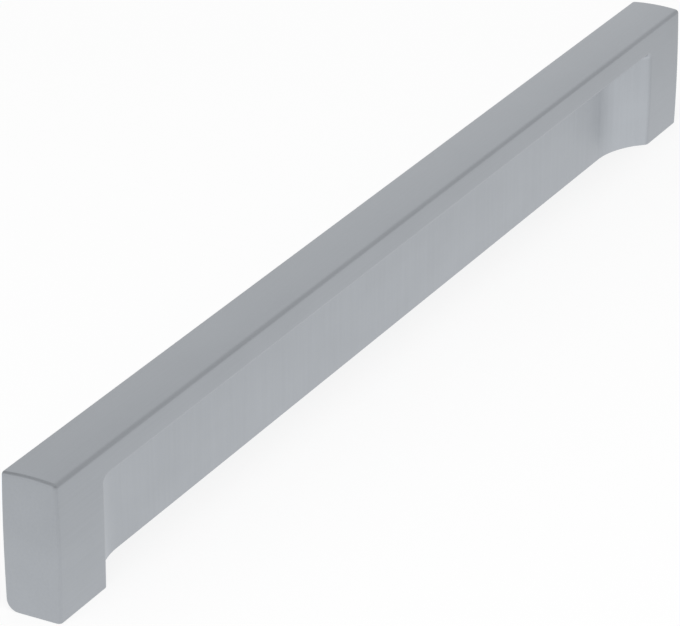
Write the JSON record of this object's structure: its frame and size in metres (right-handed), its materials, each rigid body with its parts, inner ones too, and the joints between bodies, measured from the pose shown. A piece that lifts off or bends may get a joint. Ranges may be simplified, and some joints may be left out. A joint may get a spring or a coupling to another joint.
{
  "type": "furniture pull handle",
  "caption": "Slim satin metal bar pull with a finger recess under a lip, scooped at both feet, and tapped holes in its mounting face.",
  "frame": {"origin": "middle of the flat mounting face, half-way between the two screw holes", "axes": "+X along the bar, +Y from the finger side to the plain back, +Z out from the furniture to the top face of the bar"},
  "size_m": [0.2038, 0.0092, 0.0216],
  "materials": {
    "satin_metal": "satin"
  },
  "bodies": {
    "root": {"handle": "satin_metal"}
  },
  "joints": []
}
